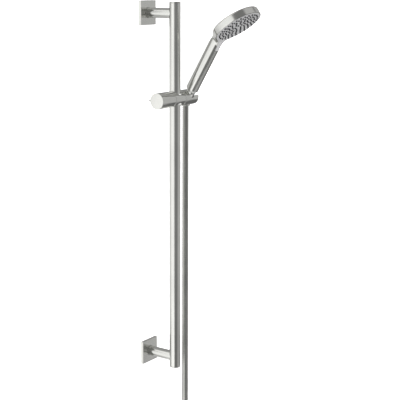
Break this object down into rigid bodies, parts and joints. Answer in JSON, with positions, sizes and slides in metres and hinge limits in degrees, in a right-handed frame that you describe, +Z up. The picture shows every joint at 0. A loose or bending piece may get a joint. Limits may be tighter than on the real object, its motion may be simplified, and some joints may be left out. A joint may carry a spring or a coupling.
{
  "type": "hand shower on a slide rail",
  "caption": "Wall rail with a sliding, tilting holder that carries a round-headed hand shower on a flexible metal hose.",
  "frame": {"origin": "middle of the upper wall plate's face, on the wall", "axes": "+Z up the rail, +Y into the wall, +X to the right when facing the wall"},
  "size_m": [0.166, 0.2595, 1.2445],
  "materials": {
    "rail_nickel": "brushed nickel",
    "bracket_nickel": "brushed nickel",
    "slider_nickel": "brushed nickel",
    "nut_nickel": "brushed nickel plating",
    "handset_nickel": "nickel plated plastic",
    "hose_nickel": "ribbed metal-effect hose",
    "screw_steel": "plain steel",
    "brass": "machined",
    "grey_plastic": "light grey satin",
    "white_plastic": "moulded",
    "black_plastic": "satin",
    "rubber": "matt silicone"
  },
  "bodies": {
    "rail_frame": {"rail_tube": "rail_nickel", "rail_top_cap": "rail_nickel", "rail_bottom_cap": "rail_nickel", "upper_wall_plate": "screw_steel", "upper_wall_screw_left": "screw_steel", "upper_wall_screw_right": "screw_steel", "upper_rosette": "bracket_nickel", "upper_arm": "bracket_nickel", "upper_grub_screw": "screw_steel", "upper_arm_bolt": "screw_steel", "upper_rail_insert": "brass", "lower_wall_plate": "screw_steel", "lower_wall_screw_left": "screw_steel", "lower_wall_screw_right": "screw_steel", "lower_rosette": "bracket_nickel", "lower_arm": "bracket_nickel", "lower_grub_screw": "screw_steel", "lower_arm_bolt": "screw_steel", "lower_rail_insert": "brass"},
    "sleeve": {"grip_sleeve": "white_plastic"},
    "slider": {"clamp_block": "slider_nickel", "knob_bearing": "white_plastic", "holder_pivot_bolt": "screw_steel", "knob_spring": "screw_steel", "shower_hose": "hose_nickel", "hose_hank": "hose_nickel", "hose_tie": "black_plastic", "hose_end_ferrule": "nut_nickel"},
    "knob": {"clamp_knob": "slider_nickel", "knob_lever_pin": "slider_nickel"},
    "spindle": {"clamp_spindle": "brass"},
    "holder": {"holder_barrel": "slider_nickel", "friction_washer": "black_plastic", "socket_liner": "black_plastic", "holder_collar": "slider_nickel"},
    "hose_nut": {"cone_nut": "nut_nickel", "nut_washer": "rubber", "hose_elbow": "screw_steel"},
    "handset": {"handset_shell": "handset_nickel", "handset_thread": "grey_plastic", "flow_strainer": "white_plastic", "waterway_tube": "white_plastic", "button_spring": "screw_steel", "face_plate": "grey_plastic", "nozzle_mat": "rubber", "head_seal_ring": "rubber", "distribution_disc": "white_plastic"},
    "select_button": {"select_button": "grey_plastic"},
    "end_nut": {"hose_end_nut": "nut_nickel", "hose_end_washer": "rubber"}
  },
  "joints": [
    {"name": "slider_travel", "type": "slide", "parent": "rail_frame", "child": "sleeve", "axis": [0, 0, 1], "range_m": [-0.565, 0.155]},
    {"name": "slider_swivel", "type": "hinge", "parent": "sleeve", "child": "slider", "pos_m": [0, -0.0786, -0.186], "axis": [0, 0, 1], "range_deg": [-50, 50]},
    {"name": "knob_turn", "type": "hinge", "parent": "slider", "child": "knob", "pos_m": [-0.05, -0.0786, -0.186], "axis": [1, 0, 0], "range_deg": [0, 90]},
    {"name": "spindle_draw", "type": "slide", "parent": "slider", "child": "spindle", "axis": [-1, 0, 0], "range_m": [0, 0.0006]},
    {"name": "holder_tilt", "type": "hinge", "parent": "slider", "child": "holder", "pos_m": [0.043, -0.0786, -0.186], "axis": [1, 0, 0], "range_deg": [-15, 30]},
    {"name": "handset_lift", "type": "slide", "parent": "holder", "child": "hose_nut", "axis": [0, -0.509, 0.8607], "range_m": [0, 0.045]},
    {"name": "handset_turn", "type": "hinge", "parent": "hose_nut", "child": "handset", "pos_m": [0.0435, -0.0831, -0.186], "axis": [0, -0.509, 0.8607], "range_deg": [-45, 45]},
    {"name": "button_press", "type": "slide", "parent": "handset", "child": "select_button", "axis": [0, 0.9469, 0.3215], "range_m": [0, 0.0015], "stiffness_N_per_m": 600, "springref_m": -0.0015},
    {"name": "end_nut_turn", "type": "hinge", "parent": "slider", "child": "end_nut", "pos_m": [0.0645, -0.0766, -1.18], "axis": [0, 0, 1], "continuous": true}
  ],
  "couplings": [
    {"joint": "spindle_draw", "follows": "knob_turn", "m_per_rad": 0.00038}
  ]
}
